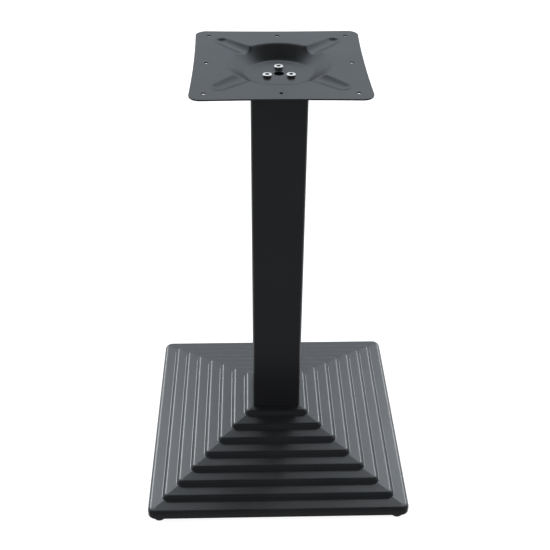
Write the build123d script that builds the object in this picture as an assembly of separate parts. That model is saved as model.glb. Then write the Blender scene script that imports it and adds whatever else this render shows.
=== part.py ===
"""Pedestal table base: stepped cast foot, square column, pressed top plate, four levelling feet.

Millimetres, +Z up. The origin is on the floor under the middle of the column, the front is -Y.
"""
import os
from math import atan2, cos, radians, sin, sqrt, tan

from build123d import *

# Overall sizes
total_height = 710.0
base_width = 430.0
column_width = 80.0
plate_width = 240.0

# Cast foot: outside
foot_gap = 14.2
step_count = 8
step_rise = 9.62
first_step_inset = 26.4
top_step_margin = 12.4
tread_slope = 4.0
riser_draft = 15.0
step_edge_radius = 5.4
step_foot_radius = 3.8
step_corner_radius = 7.8
rim_height = 13.9
rim_draft = 1.5
rim_edge_radius = 6.8
rim_foot_radius = 1.5
rim_corner_radius = 13.7
seat_margin = 1.5

# Cast foot: underside
casting_wall = 4.5
rim_wall = 8.8
seat_wall = 12.0
hollow_edge_radius = 10.0

# Column
tube_wall = 2.0
tube_corner_radius = 5.0
end_plate_thickness = 8.0
weld_gap = 0.15

# Top plate
sheet = 2.0
plate_corner_radius = 15.5
side_draw_in = 2.5
dish_depth = 16.0
dish_floor_radius = 46.5
dish_rim_radius = 71.5
dish_bend_radius = 13.0
dish_ring_width = 12.0
channel_radius = 26.0
channel_end_depth = 2.8
channel_tip_gap = 16.5
channel_slope = 2.5
channel_edge_radius = 9.0
fixing_inset = 20.0
fixing_hole_radius = 3.0

# Screws, all M8 with the threads as plain cylinders
thread_radius = 4.0
thread_clearance = 0.05
clearance_hole_radius = 4.5
screw_circle_radius = 19.0
centre_hole_radius = 7.0
screw_count = 3
socket_head_radius = 6.5
socket_head_height = 3.5
socket_head_chamfer = 0.5
socket_across_flats = 5.0
socket_depth = 2.0
screw_end_chamfer = 0.8
screw_overrun = 3.0
hex_across_flats = 13.0
hex_head_height = 5.3
hex_head_chamfer = 0.9
washer_radius = 8.0
washer_thickness = 1.6

# Levelling feet
foot_inset = 18.0
foot_boss_radius = 12.0
foot_boss_cover = 2.0
stud_engagement = 11.0
stud_hole_spare = 0.3
pad_radius = 10.0
pad_disc_height = 7.0
pad_collar_radius = 8.0
pad_edge_chamfer = 1.0
pad_headroom = 0.3
pad_floor = 2.6
flange_radius = 5.7
flange_thickness = 2.6
socket_clearance = 0.3

# Heights and half widths that follow
casting_bottom = foot_gap
rim_top = casting_bottom + rim_height
rim_half = base_width / 2
rim_edge_half = rim_half - rim_height * tan(radians(rim_draft))
first_step_half = rim_half - first_step_inset
top_step_half = column_width / 2 + top_step_margin
step_run = (first_step_half - top_step_half) / (step_count - 2)
tread_gain = tan(radians(tread_slope))
seat_half = column_width / 2 + seat_margin
seat_level = rim_top + step_rise * (step_count - 1) + (top_step_half - seat_half) * tread_gain
dish_floor_level = total_height - dish_depth
column_top = dish_floor_level - sheet
column_length = column_top - seat_level
fixing_reach = plate_width / 2 - fixing_inset
channel_tip_radius = fixing_reach * sqrt(2) - channel_tip_gap
tapped_hole_radius = thread_radius + thread_clearance
stud_radius = thread_radius - thread_clearance
stud_top = casting_bottom + stud_engagement
pad_top = casting_bottom - pad_headroom

# Overlaps that let solids run into each other, and how near two radii count as the same
bury = 0.04
overlap = 3.0
same_radius = 0.01


def step_half(index):
    """Half width of a step at its sharp top edge; step 0 is the rim."""
    if index == 0:
        return rim_edge_half
    return first_step_half - step_run * (index - 1)


def step_top(index):
    """Height of a step's sharp top edge."""
    return rim_top + step_rise * index


def step_foot(index):
    """Half width and height of the sharp line where a riser meets the tread below it."""
    draft = tan(radians(riser_draft))
    tread_under_edge = step_top(index - 1) + (step_half(index - 1) - step_half(index)) * tread_gain
    rise = (step_top(index) - tread_under_edge) / (1 - draft * tread_gain)
    return step_half(index) + rise * draft, step_top(index) - rise


def rounded_section(points, edge_corner, edge_radius, foot_corner, foot_radius):
    """Closed outline with two of its corners rounded."""
    face = make_face(Polyline(*points, close=True))
    face = fillet(face.vertices().sort_by_distance((*edge_corner, 0))[0], edge_radius)
    return fillet(face.vertices().sort_by_distance((*foot_corner, 0))[0], foot_radius)


def step_section(index):
    """Section through a step's edge, from its corner axis outwards into the tread below."""
    edge = step_corner_radius
    top = step_top(index)
    foot_half, foot_level = step_foot(index)
    foot = edge + foot_half - step_half(index)
    low = foot_level - bury
    out = foot + 2 * step_foot_radius
    out_level = low - 2 * step_foot_radius * tread_gain
    bottom = out_level - overlap
    points = [(0, bottom), (out, bottom), (out, out_level), (foot, low), (edge, top)]
    points.append((0, top + edge * tread_gain))
    return rounded_section(points, (edge, top), step_edge_radius, (foot, low), step_foot_radius)


def rim_section():
    """Section through the rim, from its corner axis outwards."""
    edge = rim_corner_radius
    out = edge + rim_half - rim_edge_half
    points = [(0, casting_bottom), (out, casting_bottom), (edge, rim_top), (0, rim_top + edge * tread_gain)]
    return rounded_section(points, (edge, rim_top), rim_edge_radius, (out, casting_bottom), rim_foot_radius)


def square_from_side(points):
    """Square solid with mitred corners: a symmetrical side view, given by its right half, both ways."""
    left = [(-x, z) for x, z in reversed(points)]
    side = make_face(Polyline(*points, *left, close=True))
    bar = extrude(Plane.XZ * side, amount=points[0][0], both=True)
    return bar & Rot(0, 0, 90) * bar


def step_pieces(section, corner_radius, half, top, inner_half):
    """One step: its edge section run along the sides and turned round the corners, and its inside."""
    axis_half = half - corner_radius
    axis_level = top + corner_radius * tread_gain
    inner_level = axis_level + (axis_half - inner_half) * tread_gain
    bottom = section.bounding_box().min.Y
    side = Pos(axis_half, 0, 0) * extrude(Plane.XZ * section, amount=axis_half, both=True)
    corner = Pos(axis_half, axis_half, 0) * revolve(Plane.XZ * section, axis=Axis.Z, revolution_arc=90)
    inside = square_from_side([(axis_half, bottom), (axis_half, axis_level), (inner_half, inner_level)])
    return [inside, *quarter_turns(side), *quarter_turns(corner)]


def quarter_turns(piece):
    """The piece in each of the four sides or corners."""
    return [Rot(0, 0, 90 * turn) * piece for turn in range(4)]


def stepped_pyramid():
    """The cast foot without its hollow."""
    pieces = step_pieces(rim_section(), rim_corner_radius, rim_edge_half, rim_top, step_half(1))
    for index in range(1, step_count):
        inner_half = seat_half if index == step_count - 1 else step_half(index + 1)
        section = step_section(index)
        pieces += step_pieces(section, step_corner_radius, step_half(index), step_top(index), inner_half)
    return pieces[0] + pieces[1:]


# Underside of the cast foot: a mitred hollow that keeps casting_wall under the foot of each riser
hollow_gradient = step_rise / step_run
valley_half, valley_level = step_foot(1)
hollow_half = rim_half - rim_wall
ceiling_level = seat_level - seat_wall
wall_drop = casting_wall * sqrt(1 + hollow_gradient**2)


def hollow_level(half):
    """Height of the hollow's sloping side at a distance from the middle."""
    return valley_level + (valley_half - half) * hollow_gradient - wall_drop


ceiling_half = valley_half - (ceiling_level + wall_drop - valley_level) / hollow_gradient
foot_reach = rim_half - foot_inset
boss_top = rim_top - foot_boss_cover


def hollow():
    """Space under the cast foot, with the corner bosses left standing in it."""
    low = casting_bottom - overlap
    corner_level = hollow_level(hollow_half)
    points = [(hollow_half, low), (hollow_half, corner_level), (ceiling_half, ceiling_level)]
    space = square_from_side(points)
    mitres = space.edges().filter_by(Plane.XY, reverse=True).group_by(Axis.Z)[-1]
    space = fillet(mitres, hollow_edge_radius)
    boss = Pos(foot_reach, foot_reach, 0) * upright(foot_boss_radius, casting_bottom, boss_top)
    return space - quarter_turns(boss)


def upright(radius, low, high):
    """Upright cylinder on the Z axis between two heights."""
    return Pos(0, 0, low) * Cylinder(radius, high - low, align=(Align.CENTER, Align.CENTER, Align.MIN))


def on_screw_circle(piece):
    """The piece at each of the three screws, the first at the back."""
    return PolarLocations(screw_circle_radius, screw_count, start_angle=90) * piece


def base_casting():
    """Stepped cast foot with its hollow, screw holes and tapped corner bosses."""
    screw_hole = upright(clearance_hole_radius, ceiling_level - overlap, seat_level + overlap)
    stud_hole = upright(tapped_hole_radius, casting_bottom - overlap, stud_top + stud_hole_spare)
    stud_holes = quarter_turns(Pos(foot_reach, foot_reach, 0) * stud_hole)
    return stepped_pyramid() - [hollow(), *on_screw_circle(screw_hole), *stud_holes]


def column_tube():
    """Square tube from the casting's seat to the underside of the dish."""
    inside = column_width - 2 * tube_wall
    section = RectangleRounded(column_width, column_width, tube_corner_radius)
    section -= RectangleRounded(inside, inside, tube_corner_radius - tube_wall)
    return extrude(Pos(0, 0, seat_level) * section, amount=column_length)


def end_plate(low):
    """Plate welded into an end of the tube, with three tapped holes and a centre hole."""
    width = column_width - 2 * (tube_wall + weld_gap)
    outline = RectangleRounded(width, width, tube_corner_radius - tube_wall - weld_gap)
    outline -= Circle(centre_hole_radius)
    outline -= on_screw_circle(Circle(tapped_hole_radius))
    return extrude(Pos(0, 0, low) * outline, amount=end_plate_thickness)


def plate_outline():
    """Square outline with its sides drawn in a little and its corners rounded."""
    reach = plate_width / 2
    side = ThreePointArc((reach, -reach), (reach - side_draw_in, 0), (reach, reach))
    face = make_face([Rot(0, 0, 90 * turn) * side for turn in range(4)])
    return fillet(face.vertices(), plate_corner_radius)


# The pressed sheet: its lower face is the upper one set off by the sheet's thickness
dish_wall_angle = atan2(dish_depth, dish_rim_radius - dish_floor_radius)
bend_shift = sheet * tan(dish_wall_angle / 2)
dish_ring_radius = dish_rim_radius + dish_ring_width


def dish_section(points, floor_radius, rim_radius):
    """Outline under or over the dish wall with its two bends rounded."""
    return rounded_section(points, points[1], floor_radius, points[2], rim_radius)


def dish():
    """Dish and a flat ring round it, turned about the column's axis, and the space over its upper face."""
    floor = dish_floor_level
    rim = total_height
    upper = [(0, floor), (dish_floor_radius, floor), (dish_rim_radius, rim), (dish_ring_radius, rim)]
    lower_floor = (dish_floor_radius + bend_shift, floor - sheet)
    lower_rim = (dish_rim_radius + bend_shift, rim - sheet)
    lower = [(0, floor - sheet), lower_floor, lower_rim, (dish_ring_radius, rim - sheet)]
    above = [(dish_ring_radius, rim + overlap), (0, rim + overlap)]
    over_upper = dish_section(upper + above, dish_bend_radius, dish_bend_radius + sheet)
    over_lower = dish_section(lower + above, dish_bend_radius + sheet, dish_bend_radius)
    space = revolve(Plane.XZ * over_upper, axis=Axis.Z)
    return revolve(Plane.XZ * over_lower, axis=Axis.Z) - space, space


def channel_rod(radius):
    """Round rod with a ball end along one diagonal, sunk into the plate and falling towards the dish."""
    slope = radians(channel_slope)
    level = total_height + channel_radius - channel_end_depth
    reach = channel_tip_radius - sqrt(channel_radius**2 - (channel_radius - channel_end_depth) ** 2)
    axis = Plane((reach, 0, level), x_dir=(0, 1, 0), z_dir=(-cos(slope), 0, -sin(slope)))
    length = reach - dish_floor_radius / 2
    rod = axis * Cylinder(radius, length, align=(Align.CENTER, Align.CENTER, Align.MIN))
    return Rot(0, 0, 45) * (rod + axis * Sphere(radius))


def channel_edges(plate, radius):
    """Edges of the channels' round faces on one side of the sheet, without the joins within a channel."""
    round_faces = plate.faces().filter_by(GeomType.CYLINDER) + plate.faces().filter_by(GeomType.SPHERE)
    edges = round_faces.filter_by(lambda face: abs(face.radius - radius) < same_radius).edges()
    joins = edges.filter_by(GeomType.CIRCLE).filter_by(lambda edge: abs(edge.radius - radius) < same_radius)
    return [edge for edge in edges if edge not in joins]


def top_plate():
    """Pressed plate: flat border, round dish, four diagonal channels, fixing and screw holes."""
    ring, dish_space = dish()
    border = extrude(Pos(0, 0, total_height) * (plate_outline() - Circle(dish_ring_radius)), amount=-sheet)
    rods = quarter_turns(channel_rod(channel_radius))
    under_rim = Pos(0, 0, total_height) * Box(
        plate_width, plate_width, 2 * dish_depth, align=(Align.CENTER, Align.CENTER, Align.MAX)
    )
    shells = [rod & under_rim for rod in quarter_turns(channel_rod(channel_radius + sheet))]
    plate = (ring + border) - rods
    plate = plate + [shell - [dish_space, *rods] for shell in shells]
    plate = fillet(channel_edges(plate, channel_radius), channel_edge_radius)
    plate = fillet(channel_edges(plate, channel_radius + sheet), channel_edge_radius - sheet)
    screw_hole = upright(clearance_hole_radius, column_top - overlap, dish_floor_level + overlap)
    centre_hole = upright(centre_hole_radius, column_top - overlap, dish_floor_level + overlap)
    fixing_hole = upright(fixing_hole_radius, total_height - sheet - overlap, total_height + overlap)
    corner_hole = Pos(fixing_reach, fixing_reach, 0) * fixing_hole
    side_hole = Pos(fixing_reach, 0, 0) * fixing_hole
    fixing_holes = [*quarter_turns(corner_hole), *quarter_turns(side_hole)]
    return plate - [centre_hole, *on_screw_circle(screw_hole), *fixing_holes]


def screw_shank(root, tip):
    """Plain shank from the height of its root to its tip, with a chamfer on the tip."""
    shank = upright(stud_radius, min(root, tip), max(root, tip))
    rings = shank.edges().filter_by(GeomType.CIRCLE).sort_by(Axis.Z)
    return chamfer(rings[-1] if tip > root else rings[0], screw_end_chamfer)


def top_plate_screw():
    """Extra low socket screw from the dish into the head plate."""
    head_top = dish_floor_level + socket_head_height
    tip = column_top - end_plate_thickness - screw_overrun
    head = upright(socket_head_radius, dish_floor_level, head_top)
    head = chamfer(head.edges().group_by(Axis.Z)[-1], socket_head_chamfer)
    hexagon = RegularPolygon(socket_across_flats / 2, 6, major_radius=False)
    head -= extrude(Pos(0, 0, head_top) * hexagon, amount=-socket_depth)
    return head + screw_shank(dish_floor_level, tip)


def base_washer():
    """Washer under a base screw's head."""
    ring = Circle(washer_radius) - Circle(clearance_hole_radius)
    return extrude(Pos(0, 0, ceiling_level) * ring, amount=-washer_thickness)


def base_screw():
    """Hexagon screw from under the casting into the foot plate."""
    head_top = ceiling_level - washer_thickness
    head_low = head_top - hex_head_height
    tip = seat_level + end_plate_thickness + screw_overrun
    hexagon = RegularPolygon(hex_across_flats / 2, 6, major_radius=False)
    turned = upright(hex_across_flats / sqrt(3), head_low, head_top)
    turned = chamfer(turned.edges().group_by(Axis.Z)[0], hex_head_chamfer)
    head = extrude(Pos(0, 0, head_low) * hexagon, amount=hex_head_height) & turned
    return head + screw_shank(head_top, tip)


def foot_pad():
    """Moulded pad: a disc and a collar, with a socket for the stud's flange."""
    socket_radius = flange_radius + socket_clearance
    lip_radius = thread_radius + socket_clearance
    socket_top = pad_floor + flange_thickness + socket_clearance
    shoulder = pad_disc_height + pad_radius - pad_collar_radius
    outer = [(0, 0), (pad_radius, 0), (pad_radius, pad_disc_height), (pad_collar_radius, shoulder)]
    outer += [(pad_collar_radius, pad_top), (lip_radius, pad_top)]
    inner = [(lip_radius, socket_top), (socket_radius, socket_top), (socket_radius, pad_floor)]
    section = make_face(Polyline(*outer, *inner, (0, pad_floor), close=True))
    rims = section.vertices().sort_by(Axis.X)[-2:]
    return revolve(Plane.XZ * chamfer(rims, pad_edge_chamfer), axis=Axis.Z)


def foot_stud():
    """Threaded stud that screws into the casting, with the flange that the pad swivels on."""
    flange_top = pad_floor + flange_thickness
    return upright(flange_radius, pad_floor, flange_top) + screw_shank(flange_top, stud_top)


nodes = {
    "base_casting": base_casting(),
    "column_tube": column_tube(),
    "column_foot_plate": end_plate(seat_level),
    "column_head_plate": end_plate(column_top - end_plate_thickness),
    "top_plate": top_plate(),
    "top_plate_screws": Compound(children=on_screw_circle(top_plate_screw())),
    "base_washers": Compound(children=on_screw_circle(base_washer())),
    "base_screws": Compound(children=on_screw_circle(base_screw())),
}

corners = {"front_left": (-1, -1), "front_right": (1, -1), "rear_left": (-1, 1), "rear_right": (1, 1)}
for corner, (x_side, y_side) in corners.items():
    place = Pos(x_side * foot_reach, y_side * foot_reach, 0)
    nodes[f"foot_pad_{corner}"] = place * foot_pad()
    nodes[f"foot_stud_{corner}"] = place * foot_stud()

os.makedirs("parts", exist_ok=True)
for name, solid in nodes.items():
    export_step(solid, f"parts/{name}.step")
    print(name, round(solid.volume), solid.is_valid)
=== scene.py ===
# %% [markdown]
# # A pedestal table base in black powder coat
#
# The solids of this table base come from CAD: a stepped cast foot, a square column, a pressed top plate, three
# socket screws and four levelling feet. This lesson dresses them. It gives each surface its real finish, cuts the
# fine detail that CAD leaves out, such as threads and sockets, and sets the object in a small photo studio.

# %% Load the frame
from math import cos, pi, radians, sin

import bmesh
import bpy
from mathutils import Matrix, Vector


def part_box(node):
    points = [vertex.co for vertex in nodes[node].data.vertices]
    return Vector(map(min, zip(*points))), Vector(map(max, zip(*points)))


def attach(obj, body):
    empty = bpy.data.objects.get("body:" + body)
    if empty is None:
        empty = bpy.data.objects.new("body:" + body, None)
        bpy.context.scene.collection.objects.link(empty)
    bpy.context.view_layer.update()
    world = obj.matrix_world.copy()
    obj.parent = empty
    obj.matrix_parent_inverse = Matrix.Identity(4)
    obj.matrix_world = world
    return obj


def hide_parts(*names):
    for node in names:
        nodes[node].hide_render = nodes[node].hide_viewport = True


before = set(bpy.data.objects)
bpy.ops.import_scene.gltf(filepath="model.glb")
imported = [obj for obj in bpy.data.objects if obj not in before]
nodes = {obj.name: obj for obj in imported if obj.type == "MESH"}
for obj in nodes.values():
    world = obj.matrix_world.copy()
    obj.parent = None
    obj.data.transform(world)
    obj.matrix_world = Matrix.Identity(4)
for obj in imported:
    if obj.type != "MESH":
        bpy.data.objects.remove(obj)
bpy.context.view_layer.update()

# %% [markdown]
# ## Camera
#
# The picture was taken from above table height, looking down at the foot. The camera's place, its angles and its
# lens were solved from the corners of the plate, the column and the steps, so the render lies on the photograph
# line by line. A lens given in millimetres needs the sensor's width too, so both are set.

# %% Camera
camera_place = (-0.03941, -1.15728, 1.18929)
camera_pitch = radians(35.963)
camera_yaw = radians(1.798)
camera_roll = radians(0.4997)
sensor_width = 36.0
lens_length = 58.03


def put_in_scene(thing):
    """Link an object to the scene's own collection and hand it back."""
    bpy.context.scene.collection.objects.link(thing)
    return thing


camera_data = bpy.data.cameras.new("camera")
camera_data.sensor_width = sensor_width
camera_data.lens = lens_length
camera = put_in_scene(bpy.data.objects.new("camera", camera_data))
aim = Matrix.Rotation(-camera_yaw, 4, "Z") @ Matrix.Rotation(pi / 2 - camera_pitch, 4, "X")
camera.matrix_world = Matrix.Translation(camera_place) @ aim @ Matrix.Rotation(camera_roll, 4, "Z")
bpy.context.scene.camera = camera
bpy.context.scene.view_settings.view_transform = "Standard"
print("camera at", camera_place, "lens", lens_length, "mm")

# %% [markdown]
# ## Helpers for node trees
#
# Materials are built from nodes in code. A few short helpers keep that readable: one adds a node with its settings
# and its socket values, one joins two sockets, one starts a material and one starts a node group.

# %% Node helpers
def add_node(tree, kind, values=None, **settings):
    """Add a shader node, set its attributes and the values of its unlinked sockets."""
    node = tree.nodes.new(kind)
    for key, value in settings.items():
        setattr(node, key, value)
    for socket, value in (values or {}).items():
        node.inputs[socket].default_value = value
    return node


def join(source, target):
    """Link an output socket to an input socket."""
    source.id_data.links.new(source, target)


def new_material(name, values=None):
    """Material with a Principled shader; returns the material, its tree and the shader."""
    material = bpy.data.materials.new(name)
    material.use_nodes = True
    tree = material.node_tree
    tree.nodes.clear()
    output = add_node(tree, "ShaderNodeOutputMaterial")
    shader = add_node(tree, "ShaderNodeBsdfPrincipled", values)
    join(shader.outputs["BSDF"], output.inputs["Surface"])
    return material, tree, shader


def new_group(name, inputs, outputs):
    """Shader node group with number sockets; returns its tree and its two end nodes."""
    tree = bpy.data.node_groups.new(name, "ShaderNodeTree")
    for label, value in inputs.items():
        socket = tree.interface.new_socket(label, in_out="INPUT", socket_type="NodeSocketFloat")
        socket.default_value = value
    for label in outputs:
        tree.interface.new_socket(label, in_out="OUTPUT", socket_type="NodeSocketFloat")
    return tree, add_node(tree, "NodeGroupInput"), add_node(tree, "NodeGroupOutput")


print("helpers for nodes, materials and groups ready")

# %% [markdown]
# Three more helpers stand for the nodes that work on values. One maps a range to another, one does a sum, and one
# mixes colours. Each gives back its output socket, so that they can be written one inside the other.

# %% Value helpers
def feed(socket, value):
    """Give an input socket a link to an output socket, or a fixed value."""
    if isinstance(value, bpy.types.NodeSocket):
        join(value, socket)
    else:
        socket.default_value = value


def map_range(tree, source, low, high, out_low, out_high, smooth=False):
    """Map a value from one range to another."""
    values = {"From Min": low, "From Max": high, "To Min": out_low, "To Max": out_high}
    node = add_node(tree, "ShaderNodeMapRange", values)
    node.interpolation_type = "SMOOTHSTEP" if smooth else "LINEAR"
    join(source, node.inputs["Value"])
    return node.outputs["Result"]


def combine(tree, operation, *values):
    """Work on values with a math node; each is a socket or a fixed number."""
    node = add_node(tree, "ShaderNodeMath", operation=operation)
    for socket, value in zip(node.inputs, values):
        feed(socket, value)
    return node.outputs[0]


def colour_sockets(sockets):
    """The sockets of a mix node that hold colours."""
    return [socket for socket in sockets if socket.type == "RGBA"]


def mix_colours(tree, factor, first, second):
    """Mix two colours by a mask; each is a socket or a fixed colour."""
    node = add_node(tree, "ShaderNodeMix", data_type="RGBA")
    for socket, colour in zip(colour_sockets(node.inputs), (first, second)):
        feed(socket, colour)
    join(factor, node.inputs["Factor"])
    return colour_sockets(node.outputs)[0]


print("helpers for values and colours ready")

# %% [markdown]
# ## Powder coat
#
# Powder coat is sprayed on dry and melted in an oven. It flows into a skin with a fine orange-peel surface, and its
# gloss wanders a little from place to place. Paint could be a single colour, but black shows almost nothing except
# reflections, so the skin's small waves are what make it look real. All coats of the object share the effect, so it
# is one node group of noises: peel, grit in the powder, the slow swell of a casting under the coat, and clouds of
# gloss. Each material then gives it its own sizes.

# %% Coat grain group
coat_inputs = {"Peel Scale": 450.0, "Grit Scale": 2600.0, "Swell Scale": 70.0, "Cloud Scale": 9.0,
               "Grit Share": 0.3, "Swell Share": 0.0}
cloud_range = (0.3, 0.7)
coat_tree, coat_in, coat_out = new_group("coat_grain", coat_inputs, ("Height", "Clouds", "Grit"))
surface_place = add_node(coat_tree, "ShaderNodeTexCoord")


def coat_noise(scale_socket, detail, roughness):
    """Noise in the object's own metres at the scale that the group is given."""
    noise = add_node(coat_tree, "ShaderNodeTexNoise", {"Detail": detail, "Roughness": roughness})
    join(surface_place.outputs["Object"], noise.inputs["Vector"])
    join(coat_in.outputs[scale_socket], noise.inputs["Scale"])
    return noise.outputs["Fac"]


def coat_blend(share_socket, first, second):
    """Mix two heights by one of the group's shares."""
    node = add_node(coat_tree, "ShaderNodeMix", data_type="FLOAT")
    join(coat_in.outputs[share_socket], node.inputs["Factor"])
    join(first, node.inputs["A"])
    join(second, node.inputs["B"])
    return node.outputs["Result"]


peel = coat_noise("Peel Scale", detail=2.0, roughness=0.5)
grit = coat_noise("Grit Scale", detail=2.0, roughness=0.6)
swell = coat_noise("Swell Scale", detail=2.0, roughness=0.5)
clouds = coat_noise("Cloud Scale", detail=3.0, roughness=0.55)
join(coat_blend("Swell Share", coat_blend("Grit Share", peel, grit), swell), coat_out.inputs["Height"])
join(map_range(coat_tree, clouds, *cloud_range, 0.0, 1.0), coat_out.inputs["Clouds"])
join(grit, coat_out.inputs["Grit"])
print("coat_grain makes:", [socket.name for socket in coat_out.inputs if socket.name])

# %% [markdown]
# The coats are the same black with a blue cast. A mix by the clouds shifts the colour by a hair, a map range turns
# the clouds into roughness, and a bump node turns the height into a normal. Distances are in metres: a few
# hundredths of a millimetre are enough for a satin skin.

# %% Coat helper
coat_tint = (0.93, 0.97, 1.0, 1.0)


def opaque(*colours):
    """Colours with a full alpha, as sockets want them."""
    return [(*colour, 1.0) for colour in colours]


def place_grain(tree, shader, depth, grain_values):
    """Place the coat grain in a material and bump the shader by it; depth is the height of the grain."""
    grain = add_node(tree, "ShaderNodeGroup", {**coat_inputs, **grain_values}, node_tree=coat_tree)
    bump = add_node(tree, "ShaderNodeBump", {"Strength": 1.0, "Distance": depth})
    join(grain.outputs["Height"], bump.inputs["Height"])
    join(bump.outputs["Normal"], shader.inputs["Normal"])
    return grain


def coat_material(name, shades, gloss, depth, grain_values):
    """Satin coat; shades and gloss are its colours and its roughness at the two ends of the clouds."""
    material, tree, shader = new_material(name, {"Specular Tint": coat_tint})
    grain = place_grain(tree, shader, depth, grain_values)
    join(mix_colours(tree, grain.outputs["Clouds"], *shades), shader.inputs["Base Color"])
    join(map_range(tree, grain.outputs["Clouds"], 0.0, 1.0, *gloss), shader.inputs["Roughness"])
    return material


print("coat helper ready")

# %% [markdown]
# Four finishes come from that helper. The sand-cast foot shows the swell of the casting and the coarsest peel, sheet
# and tube are smoother, and the moulded pads are a matt plastic with a fine grain. Each goes on its CAD nodes.

# %% Coat materials
cast_black = opaque((0.0122, 0.0125, 0.0138), (0.0152, 0.0156, 0.0170))
sheet_black = opaque((0.0122, 0.0125, 0.0140), (0.0146, 0.0150, 0.0166))
pad_black = opaque((0.0130, 0.0130, 0.0135), (0.0170, 0.0170, 0.0175))
cast_grain = {"Peel Scale": 330.0, "Grit Scale": 1700.0, "Swell Share": 0.45}
sheet_grain = {"Peel Scale": 500.0}
pad_grain = {"Peel Scale": 900.0, "Grit Scale": 3500.0, "Cloud Scale": 60.0, "Grit Share": 0.6}
cast_coat = coat_material("cast_coat", cast_black, gloss=(0.28, 0.34), depth=0.00007, grain_values=cast_grain)
tube_coat = coat_material("tube_coat", sheet_black, gloss=(0.30, 0.36), depth=0.00002, grain_values=sheet_grain)
plate_coat = coat_material("plate_coat", sheet_black, gloss=(0.28, 0.34), depth=0.00002, grain_values=sheet_grain)
pad_plastic = coat_material("pad_plastic", pad_black, gloss=(0.50, 0.62), depth=0.00005, grain_values=pad_grain)

finishes = {"base_casting": cast_coat, "top_plate": plate_coat}
for node in ("column_tube", "column_foot_plate", "column_head_plate"):
    finishes[node] = tube_coat
for node in nodes:
    if node.startswith("foot_pad"):
        finishes[node] = pad_plastic
for node, finish in finishes.items():
    nodes[node].material_slots[0].material = finish
    print(node, "->", finish.name)

# %% [markdown]
# ## Bright zinc
#
# The screws, washers and studs are steel with bright zinc. Zinc is a pale metal with a faint cloudiness, duller in
# some places than in others. It uses the same group at a much smaller scale, on a shader that is all metal. The
# sockets get painted shade: an attribute marks their points, and there the zinc's colour turns nearly black to
# stand in for the shade inside a deep hole.

# %% Zinc
zinc_shades = opaque((0.66, 0.64, 0.61), (0.79, 0.77, 0.74))
# painted shade: the nearly black colour that stands in for the shade inside the sockets
socket_shade_black = (0.006, 0.006, 0.0065, 1.0)
zinc_grain = {"Peel Scale": 900.0, "Grit Scale": 4200.0, "Cloud Scale": 170.0, "Grit Share": 0.5}
zinc_depth = 0.00001
grit_range = (0.2, 0.8)
zinc_gloss = (0.20, 0.34)
zinc, tree, shader = new_material("bright_zinc", {"Metallic": 1.0})
grain = place_grain(tree, shader, zinc_depth, zinc_grain)
plating = mix_colours(tree, grain.outputs["Clouds"], *zinc_shades)
# the socket mark turns the zinc's colour into painted shade
socket_shade = add_node(tree, "ShaderNodeAttribute", attribute_name="socket_shade").outputs["Fac"]
join(mix_colours(tree, socket_shade, plating, socket_shade_black), shader.inputs["Base Color"])
join(map_range(tree, grain.outputs["Grit"], *grit_range, *zinc_gloss), shader.inputs["Roughness"])
for node in ("base_washers", "base_screws"):
    nodes[node].material_slots[0].material = zinc
print("zinc on the washers and base screws")

# %% [markdown]
# ## Rings of points
#
# A screw is a turned part: its whole surface is a stack of rings round one axis. A lathe modifier would make the
# plain form, but a thread and a hexagon socket need rings that aren't round, so a helper takes any ring of points
# and skins each one to the next. Every ring has the same number of points, which keeps the skin all quads.

# %% Ring helpers
def ring(count, radius_at, height):
    """Points round the Z axis; the radius may change with the angle."""
    angles = [2 * pi * index / count for index in range(count)]
    return [Vector((radius_at(angle) * cos(angle), radius_at(angle) * sin(angle), height)) for angle in angles]


def round_ring(count, radius, height):
    """Plain circle of points."""
    return ring(count, lambda angle: radius, height)


def skin(work, rings):
    """Add the rings to a bmesh, join each one to the next and close both ends."""
    loops = [[work.verts.new(point) for point in points] for points in rings]
    for low, high in zip(loops, loops[1:]):
        for index in range(len(low)):
            after = (index + 1) % len(low)
            work.faces.new((low[index], low[after], high[after], high[index]))
    work.faces.new(list(reversed(loops[0])))
    work.faces.new(loops[-1])


def finished_piece(work, name, material, sharp_angle=pi):
    """Turn a bmesh into a smooth-shaded object whose edges sharper than the angle stay crisp."""
    bmesh.ops.recalc_face_normals(work, faces=work.faces)
    for face in work.faces:
        face.smooth = True
    for edge in work.edges:
        if len(edge.link_faces) == 2 and edge.calc_face_angle() > sharp_angle:
            edge.smooth = False
    mesh = bpy.data.meshes.new(name)
    work.to_mesh(mesh)
    work.free()
    mesh.materials.append(material)
    return put_in_scene(bpy.data.objects.new(name, mesh))


print("ring helpers ready")

# %% [markdown]
# ## Threads
#
# The CAD shanks are plain cylinders of the thread's outer size. Here they get a real M8 thread of 1.25 mm pitch. A
# thread is a groove on a helix: at each angle the same wave of radius starts a little higher. So a stack of rings
# whose radius follows that wave makes it, with no helix to sweep. The wave is cut off flat at its root and its crest.

# %% Thread rings
thread_pitch = 0.00125
thread_outer = 0.00394
thread_depth = 0.00062
rows_per_pitch = 6
flank_slope = 2.6
root_flat = 0.15
end_taper = 0.8


def thread_rings(count, low, high, end_lead):
    """Rings of a thread between two heights, tapered over its upper end."""
    rows = int((high - low) / thread_pitch * rows_per_pitch)
    rings = []
    for row in range(rows + 1):
        height = low + (high - low) * row / rows

        def radius_at(angle):
            phase = (height / thread_pitch - angle / (2 * pi)) % 1.0
            groove = min(1.0, max(0.0, flank_slope * abs(phase - 0.5) - root_flat))
            crest = thread_outer - max(0.0, height - (high - end_lead)) * end_taper
            return min(crest, thread_outer - thread_depth + thread_depth * groove)

        rings.append(ring(count, radius_at, height))
    return rings


print("thread of", thread_pitch * 1000, "mm pitch,", thread_depth * 1000, "mm deep")

# %% [markdown]
# ## Levelling studs
#
# Each foot is a pad on an M8 stud that screws into the casting. The stud's thread shows when the foot is screwed
# out. The piece replaces the plain CAD stud and rides on the same body, so it turns as the pad goes down.

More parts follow.
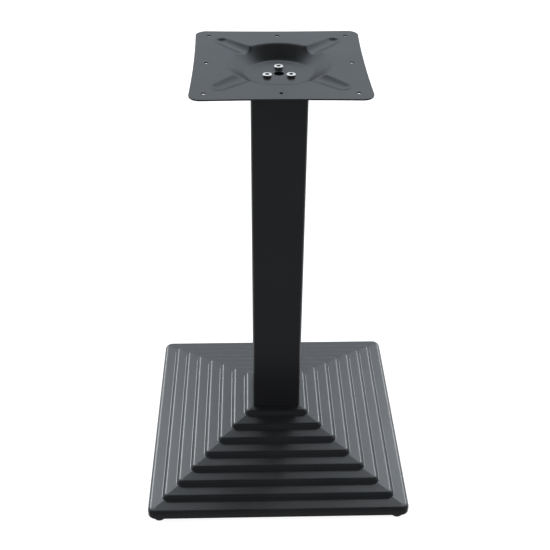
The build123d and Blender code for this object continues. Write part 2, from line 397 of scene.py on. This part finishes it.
# %% Levelling studs
stud_points = 32
flange_outer = 0.0057
flange_height = 0.0026
flange_edge = 0.0003
stud_lead = 0.001
stud_sharp = radians(50)
studs = []
for corner in ("front_left", "front_right", "rear_left", "rear_right"):
    low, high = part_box(f"foot_stud_{corner}")
    centre = (low + high) / 2
    flange_top = low.z + flange_height
    rings = [round_ring(stud_points, flange_outer - flange_edge, low.z),
             round_ring(stud_points, flange_outer, low.z + flange_edge),
             round_ring(stud_points, flange_outer, flange_top - flange_edge),
             round_ring(stud_points, flange_outer - flange_edge, flange_top)]
    rings += thread_rings(stud_points, flange_top, high.z, stud_lead)
    work = bmesh.new()
    skin(work, rings)
    stud = finished_piece(work, f"threaded_stud_{corner}", zinc, stud_sharp)
    stud.location = (centre.x, centre.y, 0.0)
    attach(stud, f"stud_{corner}")
    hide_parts(f"foot_stud_{corner}")
    studs.append(stud)
    print(stud.name, len(stud.data.polygons), "faces")

# %% [markdown]
# ## Socket screws
#
# Three socket screws with extra low heads hold the plate to the column. A head has a plain side, a small rounded edge
# and a hexagon socket with a drilled cone at its bottom. In the picture it is a ring of light with a dark middle, so
# the flat ring and the socket's lip are what matter. A boolean could cut the socket, but the stack of rings simply
# goes on over the edge and down the hole.

# %% Screw head and socket
head_points = 72
neck_outer = 0.0040
head_outer = 0.0065
head_height = 0.0035
seat_bevel = 0.0003
head_edge = 0.0005
edge_steps = 6
socket_flats = 0.0025
socket_depth = 0.002
lip_outer = 0.0004
lip_inner = 0.0003
drill_share = 0.9
cone_tip = 0.0002
cone_depth = 0.0008


def hexagon_ring(flats, height):
    """Hexagon with as many points as the head's circles; flats is the distance from the axis to a side."""
    return ring(head_points, lambda angle: flats / cos((angle + pi / 6) % (pi / 3) - pi / 6), height)


def head_outside():
    """The head from its seat up over its rounded edge and across the top to the socket's lip."""
    rings = [round_ring(head_points, neck_outer, 0.0), round_ring(head_points, head_outer - seat_bevel, 0.0),
             round_ring(head_points, head_outer, seat_bevel)]
    for step in range(edge_steps + 1):
        turn = pi / 2 * step / edge_steps
        rings.append(round_ring(head_points, head_outer - head_edge * (1 - cos(turn)),
                                head_height - head_edge * (1 - sin(turn))))
    return rings + [hexagon_ring(socket_flats + lip_outer, head_height)]


def socket_inside():
    """The socket from its lip down its walls to the drilled cone."""
    floor = head_height - socket_depth
    return [hexagon_ring(socket_flats + lip_inner, head_height), hexagon_ring(socket_flats, head_height - lip_inner),
            hexagon_ring(socket_flats, floor), hexagon_ring(socket_flats * drill_share, floor),
            round_ring(head_points, cone_tip, floor - cone_depth)]


print("screw head of", len(head_outside()) + len(socket_inside()), "rings")

# %% [markdown]
# The heads stand on the floor of the plate's dish, each stopped at its own turn of the key. One piece holds all three
# screws, as the CAD node does. The socket points are marked for painted shade: the zinc's colour turns nearly black
# there.

# %% Place the screws
dish_depth = 0.016
screw_circle = 0.019
key_turns = (17, 40, 63)
screw_sharp = radians(35)
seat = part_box("top_plate")[1].z - dish_depth
screw_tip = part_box("top_plate_screws")[0].z
outside = thread_rings(head_points, screw_tip - seat, 0.0, 0.0) + head_outside()
socket_points = []
work = bmesh.new()
for number, key_turn in enumerate(key_turns):
    angle = pi / 2 + 2 * pi * number / len(key_turns)
    centre = (screw_circle * cos(angle), screw_circle * sin(angle), seat)
    place = Matrix.Translation(centre) @ Matrix.Rotation(radians(key_turn), 4, "Z")
    first_socket_point = len(work.verts) + head_points * len(outside)
    skin(work, [[place @ point for point in points] for points in outside + socket_inside()])
    socket_points += range(first_socket_point, len(work.verts))
screws = finished_piece(work, "socket_screws", zinc, screw_sharp)
# mark the socket points for painted shade, which darkens the zinc's colour there
socket_shade_mark = screws.data.attributes.new("socket_shade", "FLOAT", "POINT")
for index in socket_points:
    socket_shade_mark.data[index].value = 1.0
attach(screws, "stand")
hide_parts("top_plate_screws")
print(screws.name, len(screws.data.polygons), "faces")

# %% [markdown]
# ## Floor
#
# The background is plain white. The floor is white to the camera and to reflections, by the light path node. The
# lamps still light it, so that it keeps the object's shadow. Seen from below the floor is clear, so that the hollow
# underside of the foot can be looked at.

# %% Floor
white = (1.0, 1.0, 1.0, 1.0)
floor_grey = (0.5, 0.5, 0.5, 1.0)
floor_glow = 0.85
floor_reach = 9.0
round_segments = 96


def white_to_viewer(tree, strength):
    """Value that is strength for camera, glossy and transmission rays and 0 for the others."""
    path = add_node(tree, "ShaderNodeLightPath")
    seen = combine(tree, "MAXIMUM", path.outputs["Is Camera Ray"], path.outputs["Is Glossy Ray"])
    any_ray = combine(tree, "MAXIMUM", seen, path.outputs["Is Transmission Ray"])
    return combine(tree, "MULTIPLY", any_ray, strength)


floor_white, tree, shader = new_material("floor_white", {
    "Base Color": floor_grey, "Roughness": 1.0, "Specular IOR Level": 0.0, "Emission Color": white})
join(white_to_viewer(tree, floor_glow), shader.inputs["Emission Strength"])
clear = add_node(tree, "ShaderNodeBsdfTransparent")
from_below = add_node(tree, "ShaderNodeMixShader")
join(add_node(tree, "ShaderNodeNewGeometry").outputs["Backfacing"], from_below.inputs["Fac"])
join(shader.outputs["BSDF"], from_below.inputs[1])
join(clear.outputs["BSDF"], from_below.inputs[2])
join(from_below.outputs["Shader"], tree.nodes["Material Output"].inputs["Surface"])
work = bmesh.new()
bmesh.ops.create_circle(work, cap_ends=True, segments=round_segments, radius=floor_reach)
ground = finished_piece(work, "floor", floor_white)
print("floor", floor_reach, "m out, white to the viewer")

# %% [markdown]
# ## World
#
# The world is white to the viewer in the same way, where a strength of 1 is white. To all other rays it is an even
# fill, a little below white, which lights the object from every side at a plain level.

# %% World
viewer_level = 1.0
fill_level = 0.8
world = bpy.data.worlds.new("studio")
world.use_nodes = True
bpy.context.scene.world = world
tree = world.node_tree
tree.nodes.clear()
sky = add_node(tree, "ShaderNodeBackground", {"Color": white})
sky_out = add_node(tree, "ShaderNodeOutputWorld")
join(combine(tree, "MAXIMUM", white_to_viewer(tree, viewer_level), fill_level), sky.inputs["Strength"])
join(sky.outputs["Background"], sky_out.inputs["Surface"])
print("world white to the viewer; the fill is", fill_level)

# %% [markdown]
# ## Lamps
#
# On a black object the lamps are seen more than they are felt: each bright edge is the picture of a lamp. Two panels
# high behind the object give the side treads their grey, a low one behind lights the back slope, and a softbox at
# each back corner draws the bright lines along the steps. The softboxes show in reflections only, so that the light
# on the object stays at a plain level. All stand a few metres off, so that they look alike from every step. A
# photographer keeps such lamps off the rest of the object with barn doors. Light linking does that here: the lamps
# light only the foot and the floor, so the plate and the column show the calm wall behind.

# %% Lamps
lamp_colour = (0.97, 0.99, 1.0)
lamp_target = Vector((0.0, 0.0, 0.35))
panel_size = (1.6, 1.8)
low_size = (3.0, 0.9)
softbox_size = (2.2, 2.0)
low_pieces = bpy.data.collections.new("lit_by_lamps")
low_nodes = [nodes[node] for node in nodes if node.startswith(("base", "foot_pad"))]
for piece in low_nodes + studs + [ground]:
    low_pieces.objects.link(piece)


def panel_light(name, place, size, radiance):
    """Rectangular lamp that faces the object; radiance is how bright its face looks, 1 being white."""
    data = bpy.data.lights.new(name, "AREA")
    data.shape = "RECTANGLE"
    data.size, data.size_y = size
    data.energy = radiance * pi * data.size * data.size_y
    data.color = lamp_colour
    lamp = put_in_scene(bpy.data.objects.new(name, data))
    lamp.visible_camera = False
    lamp.light_linking.receiver_collection = low_pieces
    facing = (lamp_target - Vector(place)).to_track_quat("-Z", "Y")
    lamp.matrix_world = Matrix.Translation(place) @ facing.to_matrix().to_4x4()
    return lamp


panel_light("left_panel", (-1.76, 4.17, 5.3), panel_size, radiance=4.4)
panel_light("right_panel", (1.76, 4.17, 5.3), panel_size, radiance=3.9)
panel_light("low_panel", (0.0, 5.6, 3.4), low_size, radiance=1.25)
softboxes = [panel_light("left_softbox", (-3.1, 3.6, 3.0), softbox_size, radiance=13.5),
             panel_light("right_softbox", (3.1, 3.6, 3.0), softbox_size, radiance=10.5)]
for softbox in softboxes:
    softbox.visible_diffuse = False

# %% [markdown]
# ## Studio wall
#
# The front of the object is nearly black, because it faces the dark half of the studio. Photographers darken a
# reflection with flags, dark cards out of the picture. Here a round wall with a ceiling stands for the studio: dim
# round the camera and overhead, pale grey behind, brighter with height and towards the sides. The plate and its dish
# show that wall. Only reflections see it, so that the background stays white from every side.

# %% Wall shape
wall_reach = 6.5
wall_height = 9.5
bottom_limit = 0.01
wall_tint = (0.92, 1.0, 1.09, 1.0)
black = (0.0, 0.0, 0.0, 1.0)


def reflection_card(work, name, tint):
    """Stage piece that only glossy rays see; returns its tree and the shader that glows."""
    material, tree, shader = new_material(name, {
        "Base Color": black, "Specular IOR Level": 0.0, "Emission Color": tint})
    card = finished_piece(work, name, material)
    for ray in ("camera", "diffuse", "transmission", "shadow", "volume_scatter"):
        setattr(card, "visible_" + ray, False)
    return tree, shader


work = bmesh.new()
bmesh.ops.create_cone(work, cap_ends=True, segments=round_segments, radius1=wall_reach, radius2=wall_reach,
                      depth=wall_height)
bmesh.ops.translate(work, verts=work.verts, vec=(0, 0, wall_height / 2))
under = [face for face in work.faces if face.calc_center_median().z < bottom_limit]
bmesh.ops.delete(work, geom=under, context="FACES")
tree, shader = reflection_card(work, "studio_wall", wall_tint)
print("studio wall", wall_reach, "m out and", wall_height, "m high")

# %% [markdown]
# The wall's glow is worked out from the place on it, in metres. It goes from the dim front to the pale rear along Y.
# The rear brightens with height and with the distance from the middle, and it fades out towards the ceiling, later at
# the sides than in the middle. Each pair of ranges below gives the places and then the levels between them.

# %% Wall glow
front_level = 0.12
rear_span = (-0.5, 3.5)
rise_span, rise_levels = (2.0, 4.5), (0.5, 1.58)
least_span, least_levels = (0.8, 2.5), (0.55, 0.9)
flank_span, flank_gains = (1.0, 3.0), (1.0, 1.18)
shade_span, shade_levels = (6.0, 8.6), (1.0, 0.03)
shade_lean = 0.3
axes = add_node(tree, "ShaderNodeSeparateXYZ")
join(add_node(tree, "ShaderNodeNewGeometry").outputs["Position"], axes.inputs[0])
aside = combine(tree, "ABSOLUTE", axes.outputs["X"])
rear = map_range(tree, axes.outputs["Y"], *rear_span, 0.0, 1.0, smooth=True)
rise = map_range(tree, axes.outputs["Z"], *rise_span, *rise_levels)
least = map_range(tree, aside, *least_span, *least_levels)
flank = map_range(tree, aside, *flank_span, *flank_gains)
leaning = combine(tree, "MULTIPLY_ADD", aside, -shade_lean, axes.outputs["Z"])
shade = map_range(tree, leaning, *shade_span, *shade_levels, smooth=True)
level = add_node(tree, "ShaderNodeMix", {"A": front_level}, data_type="FLOAT")
join(rear, level.inputs["Factor"])
join(combine(tree, "MAXIMUM", rise, least), level.inputs["B"])
dimmed = combine(tree, "MULTIPLY", level.outputs["Result"], shade)
join(combine(tree, "MULTIPLY", dimmed, flank), shader.inputs["Emission Strength"])
print("wall levels:", front_level, "in front,", rise_levels, "behind")

# %% [markdown]
# ## Front cloth
#
# The risers of the foot look down at the floor in front, which would make them white. A dark cloth lies there, just
# clear of the floor. It is one flat card that only reflections see, like the wall.

# %% Front cloth
cloth_near = -0.205
cloth_height = 0.003
cloth_level = 0.2
corners = [(-wall_reach, cloth_near), (wall_reach, cloth_near), (wall_reach, -wall_reach), (-wall_reach, -wall_reach)]
work = bmesh.new()
work.faces.new([work.verts.new((x, y, cloth_height)) for x, y in corners])
tree, shader = reflection_card(work, "front_cloth", white)
shader.inputs["Emission Strength"].default_value = cloth_level
print("cloth from", cloth_near, "m to", -wall_reach, "m")
